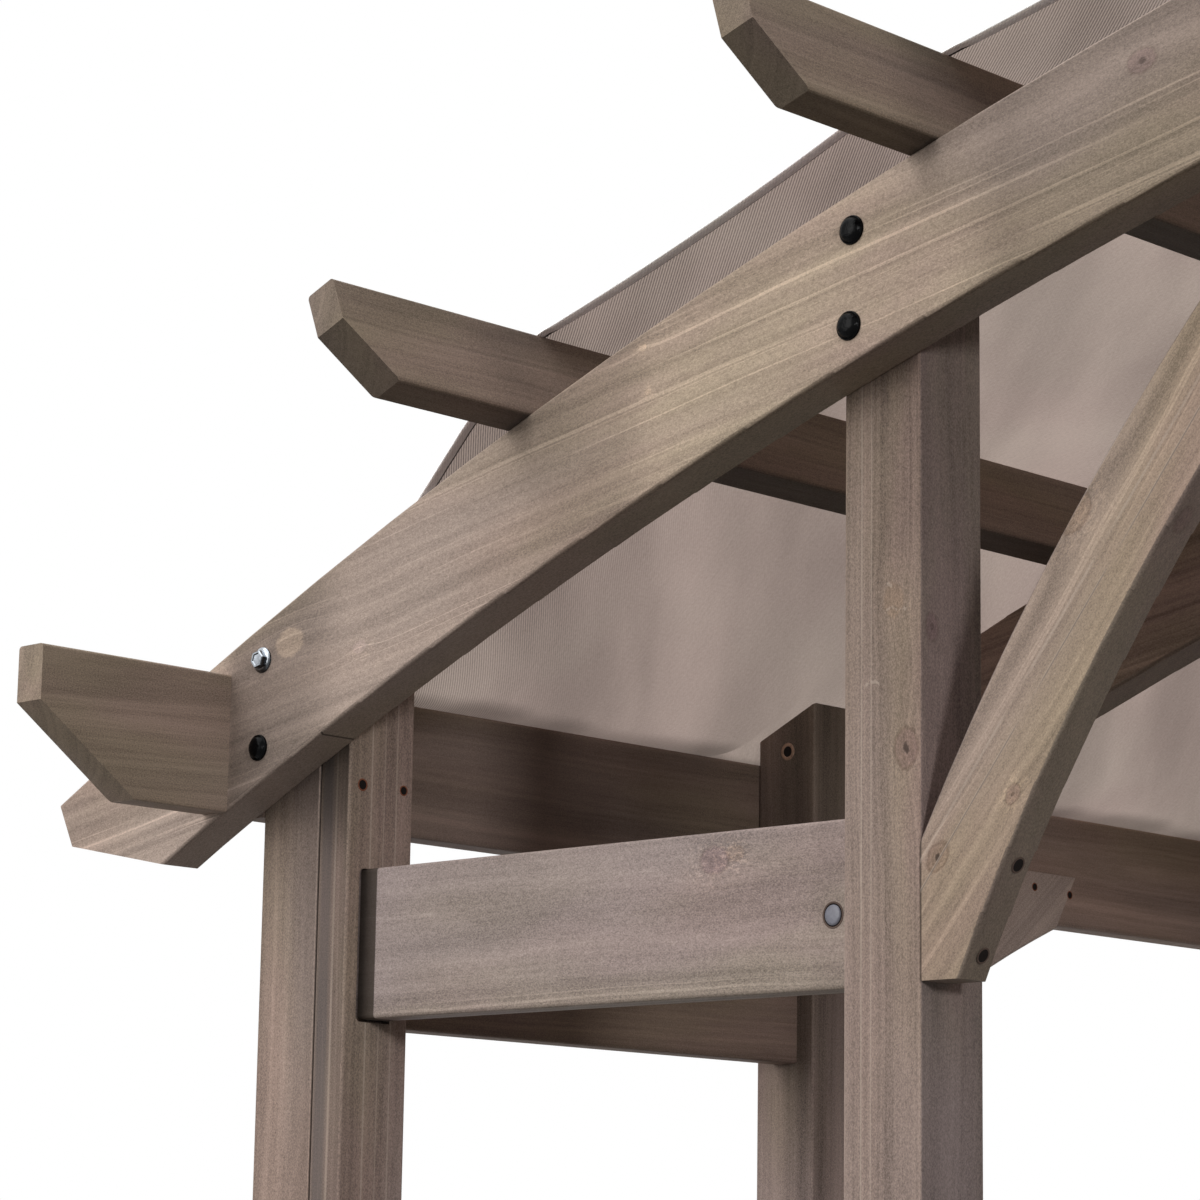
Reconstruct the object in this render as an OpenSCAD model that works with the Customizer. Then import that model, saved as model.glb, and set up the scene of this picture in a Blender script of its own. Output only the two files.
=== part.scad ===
// Arched garden pergola with a fabric canopy.
// Four L-shaped corner clusters of posts carry curved arches, eave beams and purlins.
// Origin on the ground at the centre of the plan, X across the arch span, Y along the depth.

/* [Plan] */
// Width over the outer faces of the corner posts
span = 5700; // [4800:50:6900]
// Depth over the outer faces of the corner posts
depth = 3600; // [3000:50:4400]
// Clear width between the corner post and the inner post, along the span
bay_x = 720; // [560:10:860]
// Clear width between the corner post and the side post, along the depth
bay_y = 696; // [560:10:860]

/* [Posts] */
// Side of each square post
post = 90; // [70:1:110]
// Thickness of the stile board that faces each corner post
stile_t = 46; // [30:1:60]

/* [Edges] */
// Radius of the eased edges along every timber
ease = 4; // [1:0.5:6]

/* [Rails] */
// Height of the top of the rails above the ground
rail_top = 1980; // [1700:10:2300]
// Depth of a rail, from its bottom to its top
rail_h = 156; // [120:1:190]
// Thickness of a rail
rail_t = 38; // [28:1:50]
// Depth of the slot in a stile that holds the end of the front rail
slot_d = 12; // [5:1:20]
// Gap between the slot's front edge and the rail
slot_gap = 9; // [5:1:12]
// Gap between the slot's lower edge and the rail
slot_drop = 3; // [0:1:6]
// Radius of the slot's front corners
slot_r = 7; // [5:1:10]

/* [Arches] */
// Radius of the top edge of an arch
arch_r = 6794; // [5600:1:8200]
// Height of the arch's top edge over the outer face of a corner post
arch_seat = 2216; // [2160:1:2300]
// Depth of an arch board, from its lower to its top edge
arch_h = 155; // [130:1:190]
// Thickness of an arch board
arch_t = 51; // [38:1:62]
// Distance that an arch's tail reaches past the corner post
tail = 289; // [160:1:400]
// Depth of the square end of the tail
tail_end = 55; // [30:1:80]
// Length of the sloping cut under the tail
tail_cut = 127; // [60:1:160]
// Length of the splice plate over the joint of two arch halves
splice_l = 480; // [300:10:500]
// Thickness of the splice plate
splice_t = 38; // [18:1:45]

/* [Eave beams] */
// Height of an eave beam's top above the ground
beam_top = 2189; // [2150:1:2195]
// Depth of an eave beam
beam_h = 147; // [120:1:155]
// Thickness of an eave beam
beam_t = 40; // [28:1:50]
// Distance that an eave stub reaches past the arch
stub_l = 248; // [170:1:320]
// Depth of the square end of an eave stub
stub_end = 58; // [30:1:80]
// Length of the sloping cut under an eave stub
stub_cut = 125; // [60:1:150]

/* [Purlins] */
// Depth of a purlin, square to the arch
purlin_h = 103; // [80:1:124]
// Thickness of a purlin
purlin_t = 38; // [28:1:50]
// Distance along the arch from the corner post's outer face to the middle of the lowest purlin
eave_gap = 464; // [380:1:560]
// Distance along the arch from the apex to the middle of the ridge purlin
ridge_gap = 295; // [240:1:360]
// Distance that a purlin reaches past the outer arch
purlin_over = 231; // [120:1:320]
// Height and length of the cut under a purlin's end
purlin_cut = 57; // [30:1:70]

/* [Braces] */
// Radius of a brace's upper curve
brace_r = 2208; // [1900:1:2500]
// Depth of a brace, between its two curves
brace_h = 96; // [78:1:116]
// Thickness of a brace
brace_t = 40; // [28:1:48]
// Depth of a front brace's foot on the inner post
brace_foot = 127; // [110:1:160]
// Slope of a front brace's upper curve where it leaves the post
brace_slope = 62; // [54:1:66]
// How far a brace laps over the board that it props
brace_lap = 72; // [40:1:100]
// Angle between a brace's lower curve and the cut at its upper end
brace_cut = 37; // [25:1:50]
// Reach of a side brace's lower curve from the side post, along the eave beam
side_reach = 449; // [380:1:560]
// Slope of a side brace's lower curve at its upper end
side_slope = 22; // [16:1:28]
// Drop of a side brace's lower corner under the eave beam
side_drop = 12; // [0:1:30]

/* [Canopy] */
// Thickness of the canopy's solid
canopy_t = 3; // [2:1:6]
// Distance of the canopy's hem behind the back of the end arch
hem_inset = 2; // [0:1:60]
// Length of the canopy's skirt that lies on the arch, above the eave beam
skirt_run = 175; // [100:5:240]

/* [Hidden] */
$fn = 256;
half_span = span / 2;
half_depth = depth / 2;
far = 2 * (span + depth);

// Arch: centre of its curves, and the radius of its lower edge
arch_centre = arch_seat - sqrt(pow(arch_r, 2) - pow(half_span, 2));
arch_low_r = arch_r - arch_h;

// Clusters: outer faces of the inner and side posts, measured from the middle of the plan
inner_post_x = half_span - post - bay_x;
side_post_y = half_depth - post - bay_y;
clear_x = inner_post_x - post;
clear_y = side_post_y - post;
rear_inner_y = clear_y - arch_t;

// Outer faces of the end arches, and the ends of what passes them
arch_face_y = half_depth + arch_t;
stub_end_y = arch_face_y + stub_l;
purlin_end_y = arch_face_y + purlin_over;
canopy_end_y = half_depth - hem_inset;

// Angles from the apex: a tail's square end, the end of its lower edge, and an inner arch's end
tail_angle = asin((half_span + tail) / arch_r);
tail_low_angle = tail_angle - tail_cut / arch_low_r * 180 / PI;
inner_end_angle = asin(half_span / arch_low_r);
eave_angle = asin(half_span / arch_r);
splice_angle = asin(splice_l / 2 / arch_r);

// Rails and beams
rail_bottom = rail_top - rail_h;
beam_bottom = beam_top - beam_h;

// Angle that a length along the arch's top edge takes up
function arc_angle(l) = l / arch_r * 180 / PI;

// Purlins: five on each side of the apex, at one pitch from the ridge purlin to the lowest one
purlin_count = 5;
ridge_angle = arc_angle(ridge_gap);
purlin_pitch = (eave_angle - arc_angle(eave_gap) - ridge_angle) / (purlin_count - 1);
function purlin_angle(i) = ridge_angle + i * purlin_pitch;

// Front braces: the centre of both curves lies square to the slope at the foot, which is level
// with the rails, and the tip is where the lower curve meets the arch's lower edge
brace_low_r = brace_r - brace_h;
brace_centre = [
    brace_r * sin(brace_slope) - clear_x, rail_bottom + brace_foot - brace_r * cos(brace_slope)
];
centre_line = [0, arch_centre] - brace_centre;
centre_gap = norm(centre_line);
tip_along = (pow(brace_low_r, 2) - pow(arch_low_r, 2) + pow(centre_gap, 2)) / (2 * centre_gap);
tip_aside = sqrt(pow(brace_low_r, 2) - pow(tip_along, 2));
brace_tip = brace_centre
    + (tip_along * centre_line + tip_aside * [centre_line[1], -centre_line[0]]) / centre_gap;
brace_tip_slope = asin((brace_centre[0] - brace_tip[0]) / brace_low_r);
arch_tip_slope = asin(-brace_tip[0] / arch_low_r);

// Side braces: the same curves, about a point set by the reach and slope of the upper end
side_tip = [side_reach - clear_y, beam_bottom - side_drop];
side_centre = side_tip + brace_low_r * [sin(side_slope), -cos(side_slope)];

// Canopy: rests on the purlins' tops, comes down to the arches and lies on them to the eave beam
seat_gap = 0.3;
canopy_r = arch_r + purlin_h + seat_gap;
skirt_r = arch_r + seat_gap;
skirt_steps = 4;
skirt_high_angle = eave_angle - arc_angle(skirt_run);
skirt_low_angle = asin((half_span + beam_t / 2) / arch_r);
purlin_half_angle = atan(purlin_t / 2 / canopy_r);

// Point at a radius from the arch's centre and an angle from the vertical, on the right if positive
function on_arch(r, angle) = [r * sin(angle), arch_centre + r * cos(angle)];

// Height of the arch's top edge at a distance from the middle
function arch_z(x) = arch_centre + sqrt(pow(arch_r, 2) - pow(x, 2));

// Stands an outline in X and Z up between two planes of Y
module upright(y_min, y_max) {
    translate([0, y_max, 0]) rotate([90, 0, 0]) linear_extrude(y_max - y_min) children();
}

// Stands an outline in Y and Z up between two planes of X
module lengthwise(x_min, x_max) {
    translate([x_min, 0, 0]) rotate([90, 0, 90]) linear_extrude(x_max - x_min) children();
}

// Cross-section of a timber, from the origin, with its four corners eased
module section(w, h) {
    translate([ease, 0]) square([w - 2 * ease, h]);
    translate([0, ease]) square([w, h - 2 * ease]);
    for (x = [ease, w - ease], y = [ease, h - ease]) translate([x, y]) circle(ease, $fn = 32);
}

// Timber along Y between two planes of Y, with its lower corner at x and z
module long_timber(x, z, w, h, y_min, y_max) {
    translate([x, y_max, z]) rotate([90, 0, 0]) linear_extrude(y_max - y_min) section(w, h);
}

// Timber along X between two planes of X, with its lower corner at y and z
module cross_timber(y, z, w, h, x_min, x_max) {
    translate([x_min, y, z]) rotate([90, 0, 90]) linear_extrude(x_max - x_min) section(w, h);
}

// Curved board between two radii, two planes of Y and two angles from the vertical
module curved_board(centre, r_out, r_in, y, t, from, to) {
    translate([centre[0], y + t, centre[1]]) rotate([90, 0, 0])
        rotate_extrude(angle = to - from, start = 90 - to)
            translate([r_in, 0]) section(r_out - r_in, t);
}

// Moves a front left piece to the right, to the rear, or both
module placed(right, rear) {
    mirror([right ? 1 : 0, 0, 0]) mirror([0, rear ? 1 : 0, 0]) children();
}

// Turns a piece half round, to the opposite corner
module turned() {
    rotate([0, 0, 180]) children();
}

// Repeats a left piece on the right
module both_sides() {
    children();
    mirror([1, 0, 0]) children();
}

// Repeats a front piece at the rear
module both_ends() {
    children();
    mirror([0, 1, 0]) children();
}

// Upright timber of width w whose top is sawn to the slope of the arch's top edge
module timber_post(x, y, w) {
    slope = atan((arch_z(x + w) - arch_z(x)) / w);
    difference() {
        translate([x, y, 0]) linear_extrude(arch_z(x + w) + 1) section(w, post);
        translate([x, y - 1, arch_z(x)]) rotate([0, -slope, 0])
            translate([-post, 0, 0]) cube([3 * post, post + 2, post]);
    }
}

module corner_post() {
    color("#9c8a76") timber_post(-half_span, -half_depth, post);
}

module inner_post() {
    color("#a08d78") timber_post(-inner_post_x, -half_depth, post);
}

module side_post() {
    color("#948370") timber_post(-half_span, -side_post_y, post);
}

// Outline of a stile's slot in Y and Z: a little larger than the rail's end, with round front corners
module slot_outline() {
    w = slot_gap + rail_t;
    h = slot_drop + rail_h;
    translate([-half_depth + (post - rail_t) / 2 - slot_gap, rail_bottom - slot_drop]) {
        translate([slot_r, 0]) square([w - slot_r, h]);
        translate([0, slot_r]) square([w, h - 2 * slot_r]);
        for (z = [slot_r, h - slot_r]) translate([slot_r, z]) circle(slot_r, $fn = 48);
    }
}

// Board on the corner post, with a slot for the end of the front rail
module corner_stile() {
    inner_face = -half_span + post + stile_t;
    color("#a5937f") difference() {
        timber_post(-half_span + post, -half_depth, stile_t);
        lengthwise(inner_face - slot_d, inner_face + 1) slot_outline();
    }
}

// Rail between the stile's slot and the inner post
module front_rail() {
    color("#ab9882") cross_timber(-half_depth + (post - rail_t) / 2, rail_bottom, rail_t, rail_h,
        -half_span + post + stile_t - slot_d, -inner_post_x);
}

// Rail between the corner post and the side post
module side_rail() {
    color("#8d7c69") long_timber(-half_span + (post - rail_t) / 2, rail_bottom, rail_t, rail_h,
        -half_depth + post, -side_post_y);
}

// End arch: its tail has a square end with a sloping cut under it
module outer_arch() {
    color("#a89581") difference() {
        curved_board([0, arch_centre], arch_r, arch_low_r, -arch_face_y, arch_t, -tail_angle, 0);
        upright(-arch_face_y - 1, -half_depth + 1) polygon([
            on_arch(arch_r - tail_end, -tail_angle), on_arch(arch_low_r, -tail_low_angle),
            on_arch(arch_low_r - arch_h, -tail_low_angle), on_arch(arch_low_r - arch_h, -2 * tail_angle)
        ]);
    }
}

// Left half of an inner arch, from a plane of Y: it stands behind the side posts and stops at the eave beam
module inner_arch(y) {
    color("#978571") difference() {
        curved_board([0, arch_centre], arch_r, arch_low_r, y, arch_t, -inner_end_angle - 1, 0);
        translate([-2 * half_span, y - 1, 0]) cube([half_span, arch_t + 2, far]);
    }
}

// Plate over the joint between the two halves of an arch
module arch_splice(y) {
    color("#8f7e6b")
        curved_board([0, arch_centre], arch_r, arch_low_r, y, splice_t, -splice_angle, splice_angle);
}

module arch_splices() {
    both_ends() {
        arch_splice(-half_depth);
        arch_splice(-clear_y + arch_t);
    }
}

// Beam along the outer faces of the posts, between the end arches
module eave_beam() {
    color("#86765f") long_timber(-half_span - beam_t, beam_bottom, beam_t, beam_h, -half_depth, half_depth);
}

// Short end of the eave beam on the outside of the arch, cut away below
module eave_stub() {
    color("#9a8874") difference() {
        long_timber(-half_span - beam_t, beam_bottom, beam_t, beam_h, -stub_end_y, -arch_face_y);
        lengthwise(-half_span - beam_t - 1, -half_span + 1) polygon([
            [-stub_end_y, beam_top - stub_end], [-stub_end_y + stub_cut, beam_bottom],
            [-stub_end_y + stub_cut, beam_bottom - 1], [-stub_end_y - 1, beam_bottom - 1],
            [-stub_end_y - 1, beam_top - stub_end]
        ]);
    }
}

// Purlin square to the arch at an angle from the apex, with both ends cut away below
module purlin(angle) {
    color("#9e8c78") translate([0, 0, arch_centre]) rotate([0, angle, 0]) translate([0, 0, arch_r])
        difference() {
            long_timber(-purlin_t / 2, 0, purlin_t, purlin_h, -purlin_end_y, purlin_end_y);
            both_ends() lengthwise(-purlin_t / 2 - 1, purlin_t / 2 + 1) polygon([
                [-purlin_end_y + purlin_cut, 0], [-purlin_end_y, purlin_cut],
                [-purlin_end_y - 1, purlin_cut], [-purlin_end_y - 1, -1], [-purlin_end_y + purlin_cut, -1]
            ]);
        }
}

module purlin_pair(i) {
    purlin(-purlin_angle(i));
    purlin(purlin_angle(i));
}

// Curved brace in X and Z: its foot is upright against foot_x and level with the rails.
// Past its tip it laps over a board of the given slope and is cut along it, and across.
module brace(centre, foot_x, tip, tip_slope, board_slope) {
    cut = tip_slope + brace_cut;
    low_x = tip[0] - (tip[1] - rail_bottom) / tan(cut);
    high_x = tip[0] + far / tan(cut);
    intersection() {
        curved_board(centre, brace_r, brace_low_r, 0, brace_t, -90, 0);
        upright(-1, brace_t + 1) polygon([
            [foot_x, rail_bottom], [foot_x, tip[1] + far], [high_x, tip[1] + far], [low_x, rail_bottom]
        ]);
        upright(-1, brace_t + 1) translate(tip) rotate(board_slope) translate([-far, -far])
            square([2 * far, far + brace_lap]);
    }
}

// Brace from the inner post to the back of the end arch
module front_brace() {
    color("#a3917c") translate([0, -half_depth, 0])
        brace(brace_centre, -clear_x, brace_tip, brace_tip_slope, arch_tip_slope);
}

// Brace from the side post to the inner face of the eave beam
module side_brace() {
    color("#8a7965") translate([-half_span + brace_t, 0, 0]) rotate([0, 0, 90])
        brace(side_centre, -clear_y, side_tip, side_slope, 0);
}

// Line of the canopy over the purlins of one side, down from the ridge, and flat on each of them
function purlin_line(rise, side) = [
    for (i = [0 : purlin_count - 1], edge = [-1, 1])
        on_arch(canopy_r + rise, side * (purlin_angle(i) + edge * purlin_half_angle))
];

// Line of the canopy's skirt on one side, down to the eave beam from where it meets the arches
function skirt_line(rise, side) = [
    for (i = [0 : skirt_steps])
        let (angle = skirt_high_angle + (skirt_low_angle - skirt_high_angle) * i / skirt_steps)
            on_arch(skirt_r + rise, side * angle)
];

// Line of one half of the canopy, from the ridge to the eave
function half_line(rise, side) = concat(purlin_line(rise, side), skirt_line(rise, side));

function reversed(list) = [for (i = [len(list) - 1 : -1 : 0]) list[i]];

module canopy() {
    upper = concat(reversed(half_line(canopy_t, -1)), half_line(canopy_t, 1));
    lower = concat(reversed(half_line(0, -1)), half_line(0, 1));
    color("#cfc4b4") upright(-canopy_end_y, canopy_end_y) polygon(concat(upper, reversed(lower)));
}

corner_post();  // post_front_left_corner
inner_post();  // post_front_left_inner
side_post();  // post_front_left_side
placed(true, false) corner_post();  // post_front_right_corner
placed(true, false) inner_post();  // post_front_right_inner
placed(true, false) side_post();  // post_front_right_side
placed(false, true) corner_post();  // post_rear_left_corner
placed(false, true) inner_post();  // post_rear_left_inner
placed(false, true) side_post();  // post_rear_left_side
placed(true, true) corner_post();  // post_rear_right_corner
placed(true, true) inner_post();  // post_rear_right_inner
placed(true, true) side_post();  // post_rear_right_side
both_sides() corner_stile();  // front_corner_stiles
placed(false, true) both_sides() corner_stile();  // rear_corner_stiles
both_sides() front_rail();  // front_rails
placed(false, true) both_sides() front_rail();  // rear_rails
both_ends() side_rail();  // left_side_rails
placed(true, false) both_ends() side_rail();  // right_side_rails
outer_arch();  // front_arch_left
placed(true, false) outer_arch();  // front_arch_right
inner_arch(-clear_y);  // front_inner_arch_left
turned() inner_arch(rear_inner_y);  // front_inner_arch_right
inner_arch(rear_inner_y);  // rear_inner_arch_left
turned() inner_arch(-clear_y);  // rear_inner_arch_right
placed(false, true) outer_arch();  // rear_arch_left
placed(true, true) outer_arch();  // rear_arch_right
arch_splices();
eave_beam();  // eave_beam_left
placed(true, false) eave_beam();  // eave_beam_right
both_sides() eave_stub();  // front_eave_stubs
placed(false, true) both_sides() eave_stub();  // rear_eave_stubs
purlin_pair(0);  // ridge_purlins
purlin_pair(1);  // upper_purlins
purlin_pair(2);  // middle_purlins
purlin_pair(3);  // lower_purlins
purlin_pair(4);  // eave_purlins
both_sides() front_brace();  // front_knee_braces
placed(false, true) both_sides() front_brace();  // rear_knee_braces
both_ends() side_brace();  // left_side_braces
placed(true, false) both_ends() side_brace();  // right_side_braces
canopy();
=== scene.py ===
import math
import random

import bmesh
import bpy
from mathutils import Euler, Matrix, Vector, noise


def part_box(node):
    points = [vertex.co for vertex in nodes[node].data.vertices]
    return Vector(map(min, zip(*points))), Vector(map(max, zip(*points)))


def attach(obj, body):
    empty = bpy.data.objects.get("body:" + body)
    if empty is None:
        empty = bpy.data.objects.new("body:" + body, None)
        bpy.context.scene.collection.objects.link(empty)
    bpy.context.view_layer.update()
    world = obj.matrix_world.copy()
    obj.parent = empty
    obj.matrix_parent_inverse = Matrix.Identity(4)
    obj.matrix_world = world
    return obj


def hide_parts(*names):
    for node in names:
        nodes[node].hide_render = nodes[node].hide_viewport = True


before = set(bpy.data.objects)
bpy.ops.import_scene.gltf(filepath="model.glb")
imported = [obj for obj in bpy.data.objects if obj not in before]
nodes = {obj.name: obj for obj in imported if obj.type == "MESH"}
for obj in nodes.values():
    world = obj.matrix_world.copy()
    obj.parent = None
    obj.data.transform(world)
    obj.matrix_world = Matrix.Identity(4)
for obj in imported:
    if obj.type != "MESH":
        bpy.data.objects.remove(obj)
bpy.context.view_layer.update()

scene = bpy.context.scene


# ---- shader trees

class Tree:
    """Short names for making a material's nodes."""

    def __init__(self, tree):
        self.tree = tree

    def node(self, kind, **settings):
        made = self.tree.nodes.new("ShaderNode" + kind)
        for name, value in settings.items():
            setattr(made, name, value)
        return made

    def put(self, socket, value):
        if isinstance(value, bpy.types.NodeSocket):
            self.tree.links.new(value, socket)
        else:
            socket.default_value = value

    def math(self, operation, *values, clamp=False):
        made = self.node("Math", operation=operation, use_clamp=clamp)
        for socket, value in zip(made.inputs, values):
            self.put(socket, value)
        return made.outputs[0]

    def vector(self, operation, *values):
        made = self.node("VectorMath", operation=operation)
        for socket, value in zip(made.inputs, values):
            self.put(socket, value)
        gives_value = operation in ("LENGTH", "DISTANCE", "DOT_PRODUCT")
        return made.outputs["Value" if gives_value else "Vector"]

    def split(self, vector):
        made = self.node("SeparateXYZ")
        self.put(made.inputs[0], vector)
        return made.outputs

    def join(self, x, y, z):
        made = self.node("CombineXYZ")
        for socket, value in zip(made.inputs, (x, y, z)):
            self.put(socket, value)
        return made.outputs[0]

    def grey(self, value):
        return self.join(value, value, value)

    def times(self, a, b):
        return self.math("MULTIPLY", a, b)

    def add(self, value, share, total):
        """total, and a share of value."""
        return self.math("MULTIPLY_ADD", value, share, total)

    def sway(self, value, share, total):
        """total, and a share of what value has over a half."""
        return self.add(self.math("SUBTRACT", value, 0.5), share, total)

    def noise(self, place, scale=1.0, detail=2.0, roughness=0.5, seed=0.0):
        """Noise of 4 dimensions, or of 1 if place is None: there seed is the place."""
        made = self.node("TexNoise", noise_dimensions="1D" if place is None else "4D")
        if place is not None:
            self.put(made.inputs["Vector"], place)
        self.put(made.inputs["W"], seed)
        self.put(made.inputs["Scale"], scale)
        self.put(made.inputs["Detail"], detail)
        self.put(made.inputs["Roughness"], roughness)
        return made.outputs[0]

    def range(self, value, low, high, to_low=0.0, to_high=1.0):
        made = self.node("MapRange", interpolation_type="SMOOTHSTEP")
        for socket, item in zip(made.inputs, (value, low, high, to_low, to_high)):
            self.put(socket, item)
        return made.outputs[0]

    def mix(self, share, a, b, blend="MIX"):
        made = self.node("Mix", data_type="RGBA", blend_type=blend)
        self.put(made.inputs[0], share)
        self.put(made.inputs[6], a)
        self.put(made.inputs[7], b)
        return made.outputs[2]

    def tinted(self, colour, tint):
        return self.mix(1.0, colour, tint, "MULTIPLY")

    def call(self, shared, **given):
        """The outputs of a node group with these inputs."""
        made = self.node("Group", node_tree=shared)
        for label, value in given.items():
            self.put(made.inputs[label], value)
        return made.outputs

    def bump(self, height, strength, distance, normal=None):
        made = self.node("Bump")
        made.inputs["Strength"].default_value = strength
        made.inputs["Distance"].default_value = distance
        self.put(made.inputs["Height"], height)
        if normal is not None:
            self.put(made.inputs["Normal"], normal)
        return made.outputs[0]


def linear(red, green, blue):
    """A colour from 0 to 255 as a linear one."""
    def one(value):
        value /= 255
        return value / 12.92 if value <= 0.04045 else ((value + 0.055) / 1.055) ** 2.4
    return (one(red), one(green), one(blue), 1.0)


def group(name, inputs, outputs):
    """A new node group, its tree, the sockets that give its inputs, and those that take its outputs."""
    made = bpy.data.node_groups.new(name, "ShaderNodeTree")
    for way, sockets in (("INPUT", inputs), ("OUTPUT", outputs)):
        for label, kind in sockets.items():
            made.interface.new_socket(label, in_out=way, socket_type="NodeSocket" + kind)
    start = made.nodes.new("NodeGroupInput")
    end = made.nodes.new("NodeGroupOutput")
    return made, Tree(made), start.outputs, end.inputs


def material(name, roughness=0.6, specular=0.5, metallic=0.0):
    """A new material, its tree and its shader."""
    made = bpy.data.materials.new(name)
    made.use_nodes = True
    tree = Tree(made.node_tree)
    shader = made.node_tree.nodes["Principled BSDF"]
    shader.inputs["Roughness"].default_value = roughness
    shader.inputs["Specular IOR Level"].default_value = specular
    shader.inputs["Metallic"].default_value = metallic
    return made, tree, shader


# ---- timber

def make_grain():
    """Grain of a board: place is in metres from the board's middle, along X."""
    made, t, given, out = group(
        "grain",
        dict(Place="Vector", Seed="Float", Pith="Vector", Base="Color", Rings="Float", Streaks="Float",
             Mottle="Float", Pale="Float", Bulge="Float"),
        dict(Color="Color", Height="Float", Roughness="Float"))
    place, seed = given["Place"], given["Seed"]

    def field(scale, detail, roughness=0.5, shift=0.0):
        where = t.vector("MULTIPLY", place, scale)
        moved = t.math("ADD", seed, shift)
        return t.noise(where, detail=detail, roughness=roughness, seed=moved)

    # The grain wavers slowly across the board, and bulges round knots
    x, y, z = t.split(place)
    _, pith_y, pith_z = t.split(given["Pith"])
    y = t.add(field((0.9, 4.0, 4.0), 2), 0.030, y)
    z = t.add(field((1.3, 5.0, 5.0), 2, shift=9.0), 0.030, z)
    y = t.math("SUBTRACT", y, pith_y)
    z = t.math("SUBTRACT", z, pith_z)
    radius = t.vector("LENGTH", t.join(0.0, y, z))
    taper = t.noise(None, detail=1, seed=t.add(x, 0.8, seed))
    radius = t.add(taper, 0.022, radius)
    radius = t.add(field((14.0, 60.0, 60.0), 2, shift=31.0), 0.0020, radius)
    radius = t.math("ADD", radius, given["Bulge"])

    # Growth rings, broad bands, and thin pale or dark lines that come and go
    across = t.times(radius, given["Rings"])
    rings = t.noise(None, detail=2, roughness=0.6, seed=t.math("ADD", across, seed))
    bands = t.noise(None, detail=1, seed=t.add(radius, 42.0, seed))
    lines = t.noise(None, detail=2, roughness=0.7, seed=t.add(across, 1.7, seed))
    reach = field((2.2, 26.0, 26.0), 2, shift=3.0)
    pale = t.times(t.range(lines, 0.60, 0.68), t.range(reach, 0.44, 0.58))
    dark = t.times(t.range(lines, 0.40, 0.33), t.range(reach, 0.56, 0.42))

    # Fibres, sawn fuzz, short pores and the stain's blotches
    fibre = field((11.0, 310.0, 310.0), 3, 0.65)
    fuzz = field((520.0, 800.0, 800.0), 1, 0.7, 41.0)
    grit = field((120.0, 210.0, 210.0), 2, 0.6, 51.0)
    pores = field((60.0, 900.0, 900.0), 1, shift=13.0)
    blotch = field((5.0, 17.0, 17.0), 2, 0.55, 5.0)
    patch = field((1.3, 5.0, 5.0), 2, shift=17.0)
    hue = field((2.6, 11.0, 11.0), 3, shift=21.0)

    light = t.sway(rings, 0.56, 0.0)
    light = t.sway(bands, 0.80, light)
    light = t.sway(fibre, 0.55, light)
    light = t.times(light, given["Streaks"])
    spots = t.sway(fuzz, 1.50, 1.0)
    spots = t.sway(grit, 0.16, spots)
    spots = t.sway(blotch, 0.62, spots)
    spots = t.sway(patch, 0.60, spots)
    light = t.add(t.math("SUBTRACT", spots, 1.0), given["Mottle"], light)
    light = t.math("ADD", light, 1.0)
    light = t.add(t.times(pale, given["Pale"]), 0.26, light)
    light = t.add(t.times(dark, given["Pale"]), -0.06, light)
    pitted = t.times(t.range(pores, 0.66, 0.74), given["Mottle"])
    light = t.add(pitted, -0.16, light)

    tint = t.mix(t.range(hue, 0.38, 0.62), (0.985, 1.01, 0.93, 1), (1.02, 0.98, 0.995, 1))
    tint = t.mix(t.range(patch, 0.45, 0.62), tint, (0.975, 0.995, 1.05, 1))
    colour = t.tinted(t.tinted(given["Base"], tint), t.grey(light))
    t.put(out["Color"], colour)
    height = t.add(fibre, 0.5, t.times(rings, 0.3))
    t.put(out["Height"], t.add(fuzz, 0.45, height))
    t.put(out["Roughness"], t.add(fibre, -0.12, 0.70))
    return made


def make_bulge():
    """How far the grain bends round a knot at Centre, and how many of its radii away a place is."""
    made, t, given, out = group(
        "bulge",
        dict(Place="Vector", Centre="Vector", Radius="Float", Sum="Float"),
        dict(Sum="Float", Far="Float"))
    place, radius = given["Place"], given["Radius"]
    away = t.vector("SUBTRACT", place, given["Centre"])

    def radii(along):
        """The distance from the centre in radii, where a length along the grain counts for less."""
        return t.math("DIVIDE", t.vector("LENGTH", t.vector("MULTIPLY", away, (along, 1.0, 1.0))), radius)

    ragged = t.noise(t.vector("MULTIPLY", place, (110.0, 190.0, 190.0)), detail=3, roughness=0.65,
                     seed=radius)
    far = radii(0.70)
    wide = radii(0.42)
    bend = t.math("EXPONENT", t.times(t.times(wide, wide), -0.35))
    t.put(out["Sum"], t.add(t.times(bend, radius), 0.85, given["Sum"]))
    t.put(out["Far"], t.sway(ragged, 0.50, far))
    return made


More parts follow.
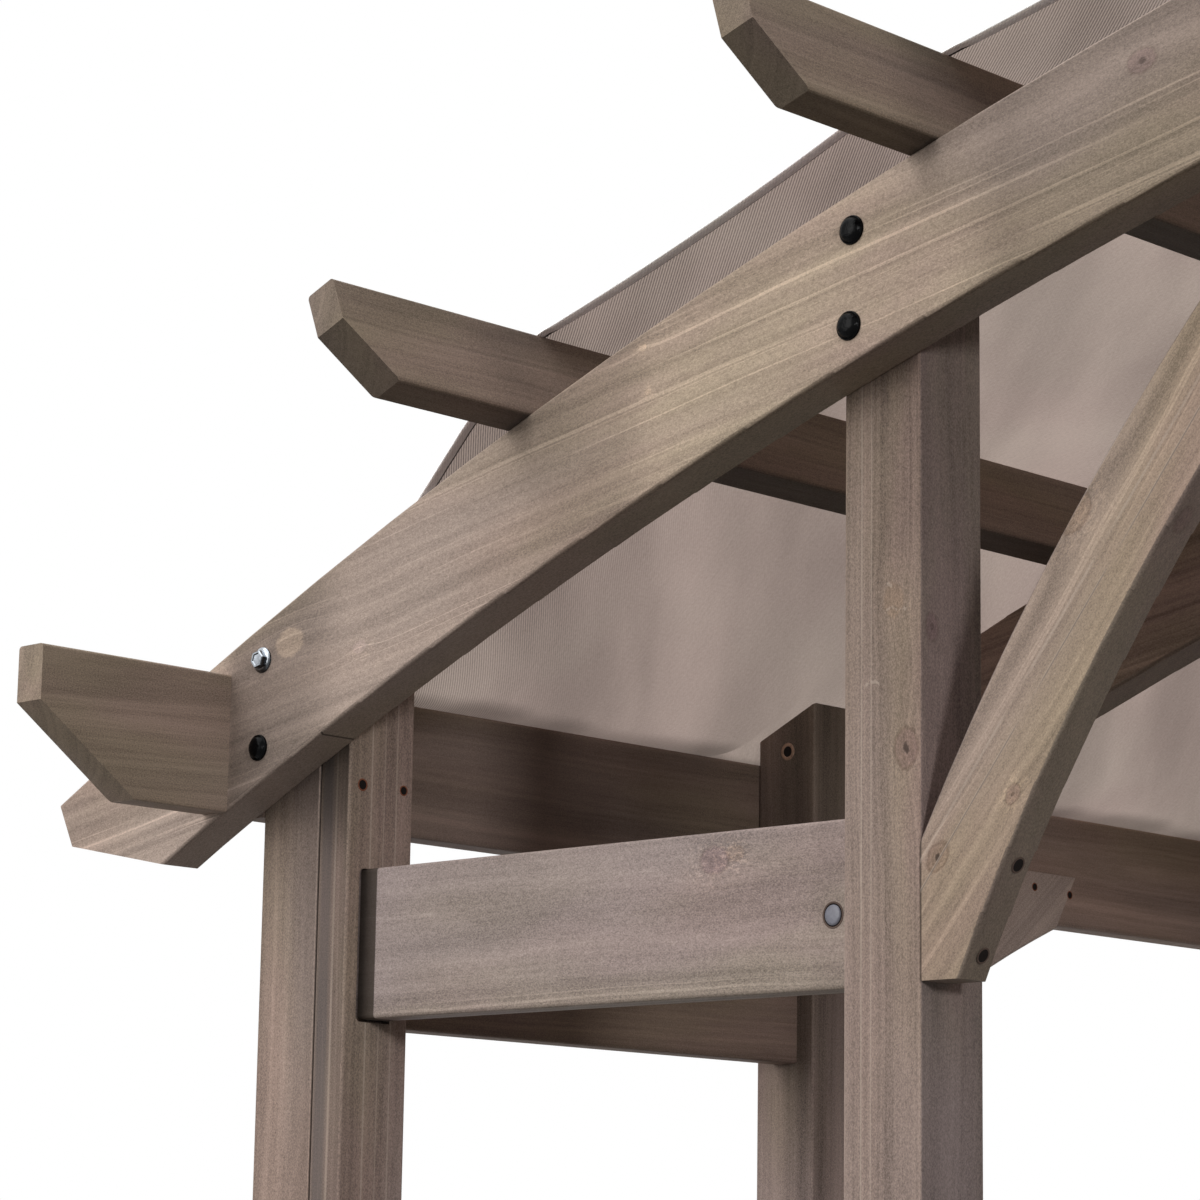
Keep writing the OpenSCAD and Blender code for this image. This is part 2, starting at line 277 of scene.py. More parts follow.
def make_knot():
    """A knot: a tinted body with a thin rim and rings, a dark eye and a pale ragged halo."""
    made, t, given, out = group(
        "knot",
        dict(Color="Color", Height="Float", Place="Vector", Far="Float", Eye="Float", Ring="Float",
             Halo="Float", Tint="Color"),
        dict(Color="Color", Height="Float"))
    far, ring = given["Far"], given["Ring"]
    flecks = t.noise(t.vector("MULTIPLY", given["Place"], (150.0, 330.0, 330.0)), detail=3,
                     roughness=0.7, seed=4.0)
    inside = t.range(far, 1.10, 0.80)
    rim = t.times(t.range(far, 0.82, 1.0), t.range(far, 1.22, 1.02))
    rim = t.times(rim, ring)
    eye = t.times(t.range(far, 0.36, 0.16), given["Eye"])
    halo = t.times(t.range(far, 2.9, 1.3), given["Halo"])
    halo = t.times(halo, t.range(flecks, 0.46, 0.60))
    colour = t.mix(halo, given["Color"], t.tinted(given["Color"], (1.27, 1.25, 1.22, 1)))
    body = t.tinted(colour, given["Tint"])
    rings = t.add(t.math("SINE", t.times(far, 15.0)), 0.5, 0.5)
    body = t.mix(t.times(rings, ring), body, t.tinted(body, (0.84, 0.82, 0.81, 1)))
    colour = t.mix(inside, colour, body)
    colour = t.mix(rim, colour, t.tinted(colour, (0.66, 0.62, 0.60, 1)))
    colour = t.mix(eye, colour, linear(56, 46, 42))
    t.put(out["Color"], colour)
    height = t.add(rim, -0.6, given["Height"])
    t.put(out["Height"], t.add(eye, -1.2, height))
    return made


GRAIN = make_grain()
BULGE = make_bulge()
KNOT = make_knot()

EASE = 0.004             # radius of the timbers' eased corners
FACE = (0.90, 0.97)      # values of Board.wide over which a timber's wide face begins
CORNER = (0.30, 0.70)    # and over which a straight timber's side ends, on its eased corner


def grain_turn(along, slope):
    """The turn that brings a timber's grain to X."""
    if along == "front":
        return Euler((0, -math.radians(slope), 0))
    if along == "side":
        return Euler((math.radians(slope), 0, -math.pi / 2))
    return {"x": Euler((0, 0, 0)), "y": Euler((0, 0, -math.pi / 2)), "z": Euler((0, math.pi / 2, 0))}[along]


def curved_facing(t, mesh, across, raw, sides, normal):
    """A curved board's normal, and how far it follows the board's thickness. The mesh's eased corners have
    uneven facets, so there both are worked out from the depth under the nearest face."""
    levels = [abs(v.co[across]) for v in mesh.vertices]
    low, high = min(levels), max(levels)
    level = t.math("ABSOLUTE", raw[across])
    depth = t.math("MINIMUM", t.math("SUBTRACT", level, low), t.math("SUBTRACT", high, level))
    wide = t.math("SUBTRACT", 1.0, t.math("DIVIDE", depth, EASE), clamp=True)
    flank = t.join(*[0.0 if n == across else part for n, part in enumerate(t.split(normal))])
    lean = t.math("SQRT", t.math("SUBTRACT", 1.0, t.times(wide, wide)))
    flank = t.vector("MULTIPLY", t.vector("NORMALIZE", flank), t.grey(lean))
    way = t.math("SIGN", t.math("SUBTRACT", level, (low + high) / 2))
    way = t.times(t.times(sides[across], way), wide)
    return t.vector("ADD", flank, t.join(*[way if n == across else 0.0 for n in range(3)])), wide


class Board:
    """The wood of a CAD node: where a point of it is, along its grain too, and how its face looks."""

    def __init__(self, node, along, slope, fold, copies):
        made, t, self.shader = material("wood_" + node, specular=0.10)
        mesh = nodes[node].data
        mesh.materials.clear()
        mesh.materials.append(made)
        self.t = t
        self.fold = fold
        self.curved = along in ("front", "side")
        place = t.node("TexCoord").outputs["Object"]
        self.raw = t.split(place)
        sides = t.split(t.vector("SIGN", place))
        self.normal = t.node("NewGeometry").outputs["True Normal"]
        across = "xyz".index("y" if along in ("x", "z", "front") else "x")
        if self.curved:
            self.normal, self.wide = curved_facing(t, mesh, across, self.raw, sides, self.normal)
        else:
            self.wide = t.math("ABSOLUTE", t.split(self.normal)[across])
        self.down = t.times(t.split(self.normal)[2], -1.0)
        self.key = random.uniform(0, 90)
        for n, axis in enumerate("xy"):
            if axis in copies:
                self.key = t.add(sides[n], 3.7 + 2.9 * n, self.key)
        if fold:
            mask = tuple(1.0 if axis in fold else 0.0 for axis in "xyz")
            rest = tuple(1.0 - share for share in mask)
            place = t.vector("ADD", t.vector("MULTIPLY", t.vector("ABSOLUTE", place), mask),
                             t.vector("MULTIPLY", place, rest))
        self.place = place
        self.turn = grain_turn(along, slope)
        # Of pieces mirrored in X, the grain is centred on one
        way = 1 if node in RIGHT else -1
        corners = [self.turn.to_matrix() @ self.folded(v.co) for v in mesh.vertices
                   if "x" not in copies + fold or v.co.x * way >= 0]
        self.middle = Vector([(min(c[n] for c in corners) + max(c[n] for c in corners)) / 2
                              for n in range(3)])
        mapping = t.node("Mapping", vector_type="POINT")
        t.put(mapping.inputs["Vector"], place)
        mapping.inputs["Rotation"].default_value = self.turn
        mapping.inputs["Location"].default_value = -self.middle
        self.local = mapping.outputs[0]

    def folded(self, point):
        return Vector([abs(v) if axis in self.fold else v for v, axis in zip(point, "xyz")])

    def at(self, point):
        """A point's place along the grain."""
        return self.turn.to_matrix() @ self.folded(point) - self.middle

    def away(self, axis):
        """Distance from the part's middle along an axis."""
        return self.t.math("ABSOLUTE", self.raw["xyz".index(axis)])

    def grain(self, base, pith, rings, streaks, mottle, pale, knots):
        """The colour, height and roughness of the grain with its knots."""
        t = self.t
        if self.curved:
            # The sawn curves show less of the rings and of the pale lines than the faces do
            flat = t.range(self.wide, *FACE)
            streaks = t.add(flat, streaks * 0.7, streaks * 0.3)
            pale = t.add(flat, pale * 0.9, pale * 0.1)
        bulge = 0.0
        spots = []
        for point, radius, *looks in knots:
            found = t.call(BULGE, Place=self.local, Centre=self.at(point), Radius=radius, Sum=bulge)
            bulge = found["Sum"]
            spots.append((found["Far"], *looks))
        grain = t.call(GRAIN, Place=self.local, Seed=self.key, Pith=pith, Base=base, Rings=rings,
                       Streaks=streaks, Mottle=mottle, Pale=pale, Bulge=bulge)
        colour, height = grain["Color"], grain["Height"]
        for far, eye, ring, halo, tint in spots:
            knot = t.call(KNOT, Color=colour, Height=height, Place=self.local, Far=far, Eye=eye,
                          Ring=ring, Halo=halo, Tint=tint)
            colour, height = knot["Color"], knot["Height"]
        return colour, height, grain["Roughness"]

    def seams(self, colour, seams, cuts):
        """Paints seams, and cuts on the faces that look down."""
        t = self.t
        for seam in (*seams, *cuts):
            axis, at, width, share, tone = seam
            gap = t.math("ABSOLUTE", t.math("SUBTRACT", self.away(axis), at))
            solid = width * 0.35 if share < 0.6 else max(width * 0.35, width - 0.0015)
            reach = t.range(gap, width, solid, 0.0, share)
            if seam in cuts:
                reach = t.times(reach, t.range(self.down, 0.5, 0.8))
            colour = t.mix(reach, colour, tone)
        return colour

    def marks(self, colour, marks):
        """Paints frayed pale strokes from point to point."""
        t = self.t
        for points, width, share in marks:
            nearest = 1.0
            for a, b in zip(points, points[1:]):
                step = Vector(b) - Vector(a)
                away = t.vector("SUBTRACT", self.place, Vector(a))
                run = t.vector("DOT_PRODUCT", away, step)
                run = t.math("DIVIDE", run, step.length_squared, clamp=True)
                foot = t.vector("MULTIPLY", t.grey(run), step)
                nearest = t.math("MINIMUM", t.vector("DISTANCE", away, foot), nearest)
            fray = t.noise(t.vector("MULTIPLY", self.place, (260.0, 260.0, 150.0)), detail=2, seed=2.0)
            nearest = t.add(t.math("SUBTRACT", fray, 0.45), width * 7.0, nearest)
            colour = t.mix(t.range(nearest, width, width * 0.3, 0.0, share), colour, PALE)
        return colour

    def lines(self, colour, lines):
        """Paints thin lines that come and go along the grain."""
        t = self.t
        for point, width, share, tone in lines:
            gap = t.math("ABSOLUTE", t.math("SUBTRACT", t.split(self.local)[2], self.at(point).z))
            fade = t.noise(t.vector("MULTIPLY", self.local, (14.0, 2.0, 2.0)), detail=2, seed=self.key)
            reach = t.range(gap, width, width * 0.3, 0.0, share)
            reach = t.times(reach, t.range(fade, 0.30, 0.50))
            colour = t.mix(reach, colour, tone)
        return colour

    def toned(self, colour, drift, facing, under, edges, cool, corner_highlight):
        """Paints light and shade onto the wood by where it is and which way its face looks, and a highlight
        along a straight timber's eased corners.
        """
        t, wide = self.t, self.wide
        flat = FACE if self.curved else CORNER
        light = 1.0
        # Painted highlight along a straight timber's eased corners
        if not self.curved:
            highlit = t.times(t.range(wide, 0.25, 0.70), t.range(wide, 0.995, 0.80))
            light = t.add(highlit, corner_highlight, 1.0)
        # Painted shade on the faces that look down
        if under:
            start, stop, level = under
            light = t.times(light, t.range(self.down, start, stop, 1.0, level))
        # Painted shade on the sideways faces where edges is under 1, and painted light where it is over 1
        light = t.times(light, t.range(wide, *flat, edges, 1.0))
        # Painted shade and light along an axis
        for axis, *levels in drift:
            light = t.times(light, t.range(self.away(axis), *levels))
        # Painted shade and light on the front and rear faces alone
        if facing:
            shade = 1.0
            for axis, *levels in facing:
                shade = t.times(t.range(self.away(axis), *levels), shade)
            shade = t.add(t.math("SUBTRACT", shade, 1.0), t.range(wide, *FACE), 1.0)
            light = t.times(light, shade)
        colour = t.tinted(colour, t.grey(light))
        # A cool tint of painted shade on the sideways faces
        if cool:
            aside = t.range(wide, *flat, cool, 0.0)
            colour = t.mix(aside, colour, t.tinted(colour, (0.95, 1.00, 1.10, 1)))
        return colour


def timber(node, base, along="x", slope=0.0, fold="", copies="", pith=(0.0, 0.09, 0.05), rings=210.0,
           streaks=1.0, mottle=1.0, pale=1.0, knots=(), seams=(), cuts=(), lines=(), marks=(), drift=(),
           facing=(), under=None, edges=1.0, cool=0.0, corner_highlight=0.16):
    """Gives a CAD node its wood. along is the grain's axis, or "front" or "side" for a curved board with a
    straight grain that falls outwards by slope degrees; fold mirrors a coordinate, and copies tells
    mirrored pieces apart. A knot is (point, radius, eye, ring, halo, tint), a seam (axis, place, width,
    share, colour) is a line at |place|, a cut is a seam on faces that look down, a line (point, width,
    share, colour) runs along the grain through a point, and a mark (points, width, share) is a thin pale
    stroke. A drift is (axis, from, to, light, light) of painted shade and light along an axis, and facing
    holds drifts painted on the front and rear faces alone. under is (from, to, light) of painted shade by
    how much a face looks down, edges paints shade on the sideways faces below 1 and light above 1, cool
    paints a cool tint of shade on them, and corner_highlight paints a highlight along a straight timber's
    eased corners."""
    board = Board(node, along, slope, fold, copies)
    colour, height, roughness = board.grain(base, pith, rings, streaks, mottle, pale, knots)
    colour = board.seams(colour, seams, cuts)
    colour = board.marks(colour, marks)
    colour = board.lines(colour, lines)
    colour = board.toned(colour, drift, facing, under, edges, cool, corner_highlight)
    inputs = board.shader.inputs
    board.t.put(inputs["Base Color"], colour)
    board.t.put(inputs["Roughness"], roughness)
    board.t.put(inputs["Normal"], board.t.bump(height, 0.45, 0.0012, board.normal))


ENDS = (("front", -1), ("rear", 1))
SIDES = (("left", -1), ("right", 1))
RIGHT = {name for name in nodes if "_right" in name or name.startswith("right_")}

# Faces of the timbers, as distances from the middle: outer ones of the end posts, end arches, end rails
# and side posts, and inner ones of the end posts and inner arches
BACK_Y, POST_Y = (corner[1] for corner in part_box("post_rear_right_corner"))
ARCH_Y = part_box("rear_arch_right")[1][1]
RAIL_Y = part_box("rear_rails")[1][1]
SIDE_Y = -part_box("post_front_left_side")[0][1]
INNER_ARCH_Y = -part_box("front_inner_arch_left")[1][1]

DARK = linear(40, 34, 30)
PALE = linear(196, 180, 166)
# The rails' dark end strip: painted shade where a rail goes into the stile
SLOT_SHADE = linear(60, 52, 45)
SLATE = linear(84, 80, 82)
JOINT = ("x", 2.760, 0.0022, 0.85, DARK)    # the seam of a corner post and its stile

WARM = linear(150, 133, 120)
ARCH = linear(166, 148, 134)
RAIL = linear(156, 141, 134)
POST = linear(154, 136, 124)
INNER = linear(143, 125, 114)
STILE = linear(138, 121, 112)
# BEAM, for the timbers inside under the canopy, is partly their own darker tone and partly painted shade
BEAM = linear(128, 110, 99)
BRACE = linear(157, 138, 123)
PURPLE = (0.93, 0.87, 0.91, 1)
TAN = (1.02, 0.98, 0.93, 1)
PEACH = (1.30, 1.28, 1.24, 1)

random.seed(11)


for end, sy in ENDS:
    for side, sx in SIDES:
        cluster = f"post_{end}_{side}_"
        # Painted shade: darker towards the top under the arch, and on the front towards the stile
        timber(cluster + "corner", POST, "z", pith=(0, 0.11, -0.03), rings=170,
               streaks=0.8, pale=0.35, seams=[JOINT], drift=[("z", 1.75, 2.05, 1.0, 0.88)],
               facing=[("x", 2.764, 2.806, 0.76, 1.02), ("z", 2.005, 2.060, 1.0, 0.62)],
               knots=[((sx * 2.79, sy * POST_Y, 1.12), 0.011, 0.6, 0.6, 0.5, PURPLE)])
        # Painted shade: darker towards the top under the arch, and darker and cooler on the sideways faces
        timber(cluster + "inner", INNER, "z", pith=(0, -0.05, 0.12), rings=190,
               streaks=0.8, pale=0.45, edges=0.94, cool=1.0, drift=[("z", 1.95, 2.30, 1.0, 0.86)],
               marks=[([(sx * x, sy * POST_Y, z) for x, z in points], 0.0017, 0.42) for points in (
                   [(1.992, 2.192), (1.989, 2.187), (1.983, 2.184)],
                   [(1.989, 2.162), (1.983, 2.164), (1.976, 2.160), (1.966, 2.161)],
                   [(2.014, 2.094), (2.009, 2.098), (1.999, 2.096)])],
               lines=[((sx * 2.0185, sy * POST_Y, 2.15), 0.0013, 0.40, PALE),
                      ((sx * 2.0070, sy * POST_Y, 2.10), 0.0010, 0.30, PALE)],
               knots=[
                   ((sx * 1.966, sy * POST_Y, 2.033), 0.013, 0.8, 0.60, 0.2, PURPLE),
                   ((sx * 1.981, sy * POST_Y, 2.170), 0.012, 0.0, 0.0, 0.5, TAN),
                   ((sx * 1.95, sy * 1.783, 2.144), 0.009, 0.35, 0.3, 0.0, PURPLE),
                   ((sx * 1.99, sy * POST_Y, 1.05), 0.011, 0.5, 0.5, 0.6, PURPLE)])
        # Painted light low down and painted shade high up
        timber(cluster + "side", STILE, "z", pith=(0, 0.10, 0.09), rings=180,
               streaks=0.8, pale=0.4, drift=[("z", 1.50, 1.98, 1.36, 0.52)],
               knots=[((sx * 2.80, sy * SIDE_Y, 1.35), 0.011, 0.5, 0.6, 0.5, PURPLE)])
    # Painted shade on the front, darkest at the top under the arch and darker towards the inner edge;
    # painted light on the sideways faces and the eased corners
    timber(end + "_corner_stiles", STILE, "z", copies="x", pith=(0, 0.08, 0.10),
           rings=220, streaks=0.75, pale=0.7, edges=1.26, corner_highlight=0.24,
           facing=[("z", 1.975, 2.058, 1.0, 0.46), ("x", 2.716, 2.730, 0.80, 0.93)],
           seams=[JOINT, ("x", 2.7465, 0.0125, 0.55, SLATE), ("x", 2.7335, 0.0022, 0.30, PALE),
                  ("y", 1.7690, 0.0016, 0.34, PALE), ("y", 1.7510, 0.0013, 0.26, PALE),
                  ("y", 1.7340, 0.0015, 0.30, PALE)])
    # The dark seam at each end is painted shade where the rail goes into the stile
    timber(end + "_rails", RAIL, "x", fold="x", copies="x", pith=(0, 0.10, 0.03),
           rings=150, streaks=0.7, mottle=0.9, seams=[("x", 2.7090, 0.0133, 0.90, SLOT_SHADE)],
           knots=[((2.222, sy * RAIL_Y, 1.953), 0.013, 0.0, 0.35, 1.0, PURPLE),
                  ((2.196, sy * RAIL_Y, 1.958), 0.008, 0.0, 0.2, 1.0, TAN)])
    # Painted shade on the faces that look down
    timber(end + "_eave_stubs", WARM, "y", copies="x", pith=(0, 0.07, 0.08),
           rings=200, streaks=0.75, mottle=0.9, pale=0.3, under=(0.70, 0.88, 0.9),
           knots=[((2.83, sy * 1.965, 2.118), 0.0085, 0.0, 0.60, 0.5, TAN),
                  ((2.83, sy * 1.911, 2.140), 0.0035, 0.0, 0.0, 1.0, PEACH)])
    # Painted shade, with a cool tint, on the sideways faces
    timber(end + "_knee_braces", BRACE, "front", slope=52, fold="x", copies="x",
           pith=(0, 0.10, 0.14), rings=90, streaks=0.80, mottle=0.72, pale=1.2, edges=0.76, cool=0.8,
           seams=[("x", 1.9500, 0.0022, 0.80, DARK)],
           lines=[((1.811, sy * POST_Y, 2.081), 0.0016, 0.45, PALE),
                  ((1.813, sy * POST_Y, 2.078), 0.0011, 0.45, DARK),
                  ((1.818, sy * POST_Y, 2.171), 0.0018, 0.40, PALE),
                  ((1.770, sy * POST_Y, 2.160), 0.0020, 0.30, PALE)],
           knots=[((1.930, sy * POST_Y, 1.932), 0.010, 0.8, 0.75, 0.3, (0.88, 0.84, 0.82, 1)),
                  ((1.846, sy * POST_Y, 1.981), 0.007, 0.5, 0.45, 1.0, PURPLE),
                  ((1.776, sy * POST_Y, 2.222), 0.014, 0.0, 0.65, 0.9, TAN),
                  ((1.668, sy * 1.785, 2.200), 0.011, 0.5, 0.4, 0.0, PURPLE)])
    for side, _ in SIDES:
        # Painted shade on the undersides; on the front and rear faces, painted light and shade in stretches:
        # shade towards the middle, under a purlin and beside the stub, and light on the tail past the stub
        timber(f"{end}_arch_{side}", ARCH, "front", slope=10, fold="x",
               pith=(0, 0.10, 0.28), rings=80, streaks=0.68, mottle=0.80, pale=1.7,
               under=(0.70, 0.88, 0.74), cuts=[("x", 2.705, 0.0018, 0.75, DARK)],
               facing=[("x", 1.80, 1.88, 0.72, 1.13), ("x", 2.22, 2.29, 1.0, 0.75),
                       ("x", 2.33, 2.44, 1.0, 1.22), ("x", 2.66, 2.75, 1.0, 0.66),
                       ("x", 2.84, 2.87, 1.0, 1.66)],
               knots=[((1.662, sy * ARCH_Y, 2.594), 0.011, 0.5, 0.35, 0.0, PURPLE),
                      ((2.757, sy * ARCH_Y, 2.213), 0.016, 0.0, 0.0, 0.0, (1.60, 1.57, 1.46, 1)),
                      ((2.648, sy * ARCH_Y, 2.196), 0.007, 0.0, 0.0, 0.7, (1.14, 1.12, 1.16, 1)),
                      ((2.251, sy * ARCH_Y, 2.443), 0.0035, 0.0, 0.0, 0.8, PEACH),
                      ((2.243, sy * ARCH_Y, 2.398), 0.0030, 0.0, 0.0, 0.8, PEACH)])
        timber(f"{end}_inner_arch_{side}", BEAM, "front", slope=10, fold="x",
               pith=(0, 0.10, 0.25), rings=160, pale=0.4, mottle=0.7,
               knots=[((1.300, sy * 0.870, 2.700), 0.010, 0.6, 0.6, 0.0, PURPLE)])
for side, sx in SIDES:
    # The side rails' wood is darkened as painted shade, for their place inside under the canopy
    timber(side + "_side_rails", linear(120, 102, 93), "y", copies="y",
           pith=(0, 0.09, 0.03), pale=0.4, mottle=0.7)
    # Painted light and shade along the beam: much lighter in the middle, darkest about a metre out, and less
    # dark towards the ends
    timber("eave_beam_" + side, BEAM, "y", pith=(0, 0.07, 0.03), pale=0.4, streaks=0.8,
           mottle=0.7, drift=[("y", 0.55, 0.95, 2.00, 0.80), ("y", 1.10, 1.45, 0.80, 1.14)],
           knots=[((sx * 2.83, -1.521, 2.105), 0.007, 0.0, 0.12, 0.8, TAN)])
    # The side braces' wood is lightened as painted light
    timber(side + "_side_braces", linear(168, 150, 138), "side", slope=40, fold="y", copies="y",
           pith=(0, 0.10, 0.12), pale=0.4, streaks=0.6)
timber("arch_splices", BEAM, "x", copies="y", pith=(0, 0.05, 0.2))
for name in ("ridge", "upper", "middle", "lower", "eave"):
    # Painted shade on the faces that look down or sideways, and towards the arch and behind it
    timber(name + "_purlins", WARM, "y", copies="x", pith=(0, 0.08, 0.06),
           rings=200, streaks=0.7, mottle=0.85, pale=0.3, under=(0.45, 0.60, 0.62), edges=0.76, corner_highlight=0.0,
           drift=[("y", 1.850, 1.935, 0.74, 1.0)])


# ---- metal and small parts

def plain(name, colour, roughness, metallic=0.0, specular=0.5, mottle=0.15, bump=0.0002, scale=260.0,
          facets=0.0):
    """A painted, plated or raw surface with slight mottling and fine relief, and a painted dark reflection
    on the facets that turn towards +X and down.
    """
    made, t, shader = material(name, roughness, specular, metallic)
    place = t.node("TexCoord").outputs["Object"]
    spots = t.noise(place, scale=scale, detail=3, roughness=0.6, seed=1.0)
    shade = t.sway(spots, mottle * 2, 1.0)
    # Painted dark reflection on the facets that turn this way
    turned = t.vector("DOT_PRODUCT", t.node("NewGeometry").outputs["Normal"], (0.62, 0.0, -0.55))
    shade = t.times(shade, t.range(turned, -0.15, 0.40, 1.0, 1.0 - facets))
    t.put(shader.inputs["Base Color"], t.tinted(colour, t.grey(shade)))
    t.put(shader.inputs["Roughness"], t.add(spots, 0.2, roughness - 0.1))
    t.put(shader.inputs["Normal"], t.bump(spots, 0.5, bump))
    return made


BLACK = plain("black_paint", (0.0018, 0.0018, 0.0022, 1), 0.16, specular=0.06, bump=0.0012, scale=300.0)
# Zinc's darker facets are a painted reflection
ZINC = plain("zinc_plate", (0.42, 0.45, 0.49, 1), 0.20, metallic=1.0, mottle=0.9, scale=150.0,
             facets=0.86)
# The dark of a bored hole's pit or a groove, painted as shade on a flat disc or ring
PIT_SHADE = plain("painted_pit_shade", (0.012, 0.009, 0.008, 1), 0.8, specular=0.1)
BARE = plain("bare_wood", linear(128, 78, 58), 0.75, specular=0.2, mottle=0.35, scale=700.0)
SPLINTER = plain("splintered_rim", linear(152, 124, 106), 0.8, specular=0.2, mottle=0.9, scale=300.0,
                 bump=0.0008)
WORN = plain("stained_rim", linear(96, 80, 72), 0.75, specular=0.2, mottle=0.3, scale=500.0)
GREY = plain("grey_plug", linear(112, 112, 122), 0.38, mottle=0.35, scale=240.0, bump=0.0006)

SEGMENTS = 40


def lathe(mesh, profile, at, slot=0, sides=SEGMENTS):
    """Turns a profile of (radius, height) into rings about at's Z axis, closed where a radius is 0."""
    rings = []
    for radius, height in profile:
        if radius == 0:
            rings.append([mesh.verts.new(at @ Vector((0, 0, height)))])
        else:
            turns = [2 * math.pi * n / sides for n in range(sides)]
            points = [Vector((radius * math.cos(a), radius * math.sin(a), height)) for a in turns]
            rings.append([mesh.verts.new(at @ point) for point in points])
    for low, high in zip(rings, rings[1:]):
        for n in range(sides):
            m = (n + 1) % sides
            if len(low) == 1:
                face = mesh.faces.new((low[0], high[m], high[n]))
            elif len(high) == 1:
                face = mesh.faces.new((low[n], low[m], high[0]))
            else:
                face = mesh.faces.new((low[n], low[m], high[m], high[n]))
            face.material_index = slot
            face.smooth = True


def standing(point, normal):
    """A frame at point whose Z axis is normal."""
    turn = Vector(normal).normalized().to_track_quat("Z", "Y").to_matrix().to_4x4()
    return Matrix.Translation(point) @ turn


def linked(name, data):
    made = bpy.data.objects.new(name, data)
    scene.collection.objects.link(made)
    return made


def shown(name, mesh, materials):
    """An object of a mesh that is done."""
    data = bpy.data.meshes.new(name)
    mesh.to_mesh(data)
    mesh.free()
    for item in materials:
        data.materials.append(item)
    return linked(name, data)


def small_part(name, mesh, materials, angle=35):
    """A small part whose edges stay sharp where its faces turn by more than angle degrees."""
    bmesh.ops.recalc_face_normals(mesh, faces=mesh.faces)
    made = shown(name, mesh, materials)
    made.data.set_sharp_from_angle(angle=math.radians(angle))
    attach(made, "root")


MM = 0.001


def scaled(profile):
    return [(r * MM, h * MM) for r, h in profile]


BUTTON = scaled([(0, -1), (13.6, -1), (14.0, 0.6), (13.6, 1.9), (12.8, 2.4), (12.1, 2.0), (11.6, 2.6),
                 (10.8, 4.6), (9.2, 5.9), (6.2, 6.8), (3.2, 7.1), (0, 7.2)])
FLANGE = scaled([(0, -1), (13.4, -1), (13.8, 0.4), (13.4, 1.5), (11.8, 2.4), (10.0, 3.1), (0, 3.1)])
WASHER = scaled([(0, -1), (11.6, -1), (12.0, 0.3), (11.8, 1.6), (11.2, 2.0), (0, 2.0)])
ROD_END = scaled([(0, 5), (3.9, 5), (3.9, 11.4), (3.2, 12.2), (0, 12.2)])


def hexagon(mesh, at, radius, low, high, dish=0.0):
    """A hexagonal head with a chamfered top, which may be dished."""
    turns = [math.radians(12) + math.pi / 3 * n for n in range(6)]
    rows = []
    for r, h in ((radius, low), (radius, high - 1.0 * MM), (radius * 0.90, high),
                 (radius * 0.72, high), (radius * 0.60, high - dish)):
        rows.append([mesh.verts.new(at @ Vector((r * math.cos(a), r * math.sin(a), h))) for a in turns])
    for a, b in zip(rows, rows[1:]):
        for n in range(6):
            m = (n + 1) % 6
            mesh.faces.new((a[n], a[m], b[m], b[n]))
    mesh.faces.new(rows[-1])
    mesh.faces.new(rows[0][::-1])


def button(mesh, at):
    lathe(mesh, BUTTON, at)


def flanged_head(mesh, at):
    lathe(mesh, FLANGE, at)
    hexagon(mesh, at, 9.8 * MM, 2.8 * MM, 9.0 * MM, dish=0.9 * MM)


def nut(mesh, at):
    lathe(mesh, WASHER, at)
    hexagon(mesh, at, 8.4 * MM, 1.8 * MM, 8.6 * MM)
    lathe(mesh, ROD_END, at, sides=20)


def fasteners(name, build, places, finish):
    """One piece of what build makes at each of the places."""
    mesh = bmesh.new()
    for point, normal in places:
        build(mesh, standing(point, normal))
    small_part(name, mesh, [finish])


def holes(name, places, rim, rim_share=1.16):
    """Bored holes: a thin rim, which reaches to rim_share of the radius, round a flat disc painted with the
    pit's shade.
    """
    mesh = bmesh.new()
    for point, normal, radius in places:
        at = standing(point, normal)
        lathe(mesh, [(radius * rim_share, 0), (radius * (rim_share - 0.04), 0.35 * MM),
                     (radius * 0.98, 0.45 * MM), (radius * 0.90, 0.12 * MM)], at, 0, 28)
        lathe(mesh, [(radius * 0.90, 0.12 * MM), (radius * 0.5, 0.08 * MM), (0, 0.08 * MM)], at, 1, 28)
    small_part(name, mesh, [rim, PIT_SHADE], angle=60)


def plug(name, point, normal):
    """A glossy grey plug with a stained rim, in a groove painted with its shade."""
    mesh = bmesh.new()
    at = standing(point, normal)
    lathe(mesh, scaled([(12.6, 0), (12.4, 0.5), (11.4, 0.6), (10.8, 0.15)]), at, 0)
    lathe(mesh, scaled([(10.8, 0.15), (9.6, 0.15)]), at, 1)
    lathe(mesh, scaled([(9.6, 0.15), (9.2, 0.9), (7.0, 1.3), (3.0, 1.5), (0, 1.5)]), at, 2)
    small_part(name, mesh, [WORN, PIT_SHADE, GREY], angle=60)


# Distance from the middle and height of the bolts: two at the corner post and two at the inner post
BOLTS = ((2.800, 2.199), (2.802, 2.106), (1.988, 2.508), (1.991, 2.418))
STILE_X = 2.714          # inner face of a corner stile
BRACE_Y = 1.780          # middle of a knee brace's thickness
SIDE_BRACE_X = 2.810     # inner face of a side brace

